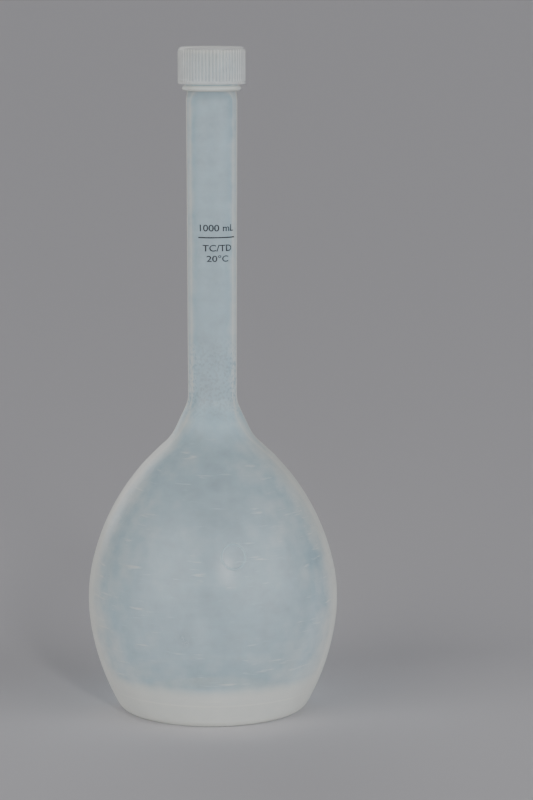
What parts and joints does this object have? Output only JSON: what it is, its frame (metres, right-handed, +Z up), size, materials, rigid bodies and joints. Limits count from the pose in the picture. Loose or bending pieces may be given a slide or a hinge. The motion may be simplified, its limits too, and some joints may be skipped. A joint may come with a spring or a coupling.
{
  "type": "volumetric flask",
  "caption": "Translucent plastic volumetric flask with an egg-shaped bulb, a long narrow neck with one printed line, and a ribbed screw cap with a sealing insert.",
  "frame": {"origin": "centre of the foot ring, on the plane the flask stands on", "axes": "+Z up the flask's axis to the mouth, -Y towards the printed side"},
  "size_m": [0.1186, 0.1186, 0.3144],
  "materials": {
    "flask_plastic": "milky translucent moulded polypropylene, satin",
    "black_ink": "screen printed ink, matt",
    "seal_plastic": "creamy translucent moulded plastic",
    "cap_plastic": "clear milky moulded polypropylene, semi-gloss"
  },
  "bodies": {
    "flask": {"flask_body": "flask_plastic", "graduation_line": "black_ink"},
    "seal": {"cap_seal": "seal_plastic"},
    "cap": {"cap_shell": "cap_plastic"}
  },
  "joints": [
    {"name": "cap_rise", "type": "slide", "parent": "flask", "child": "seal", "axis": [0, 0, 1], "range_m": [0, 0.01851]},
    {"name": "cap_turn", "type": "hinge", "parent": "seal", "child": "cap", "pos_m": [0, 0, 0.3115], "axis": [0, 0, 1], "range_deg": [0, 1800]}
  ],
  "couplings": [
    {"joint": "cap_rise", "follows": "cap_turn", "m_per_rad": 0.00058887}
  ]
}
